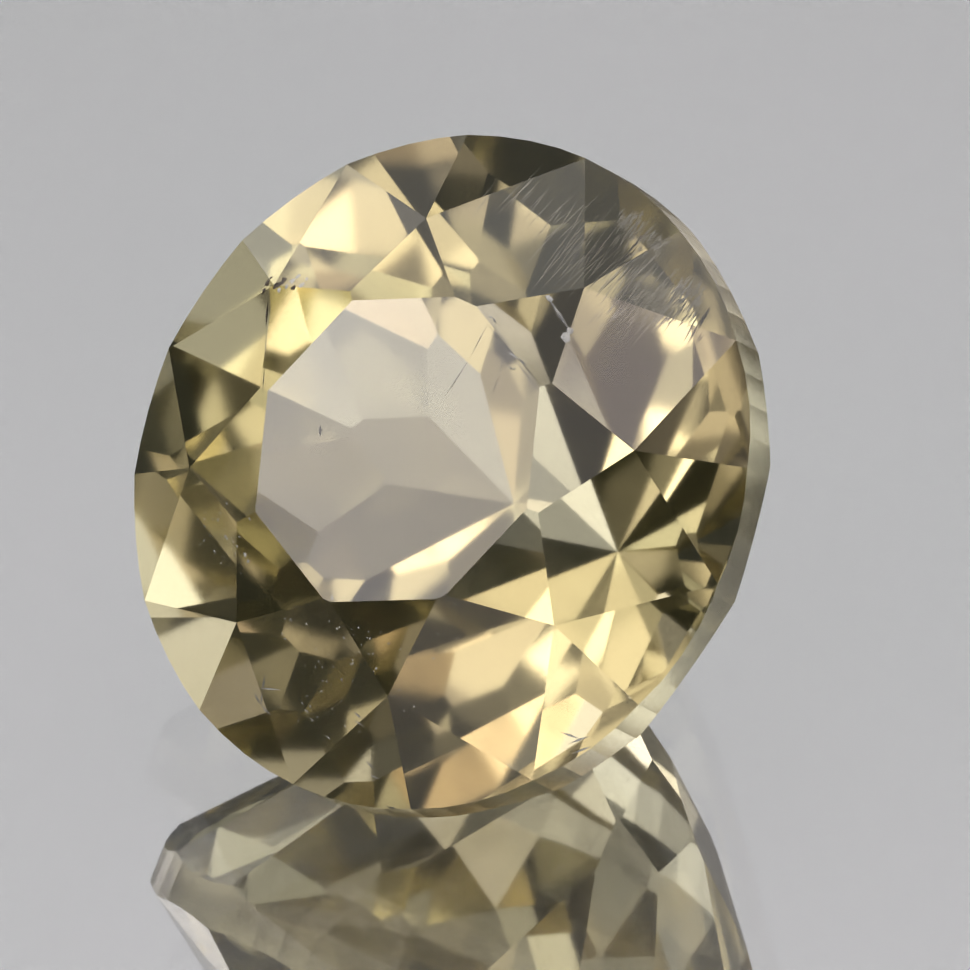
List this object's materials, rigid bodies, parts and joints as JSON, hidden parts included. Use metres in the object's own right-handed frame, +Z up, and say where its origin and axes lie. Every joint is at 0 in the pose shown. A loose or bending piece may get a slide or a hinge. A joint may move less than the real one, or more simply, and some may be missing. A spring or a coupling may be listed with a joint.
{
  "type": "round faceted gemstone",
  "caption": "Small clear yellowish gemstone, brilliant cut with a flat table, a pavilion in three tiers and a thick girdle, lying on one pavilion facet.",
  "frame": {"origin": "middle of the bounding box at the level of the facet that the stone lies on", "axes": "+Z up, square to the facet underneath; the table leans towards -X and -Y, and a viewer on the -Y side looks into the crown"},
  "size_m": [0.0066, 0.0064, 0.0052],
  "materials": {
    "gem": "polished, transparent, pale yellowish green"
  },
  "bodies": {
    "root": {"faceted_gem": "gem"}
  },
  "joints": []
}
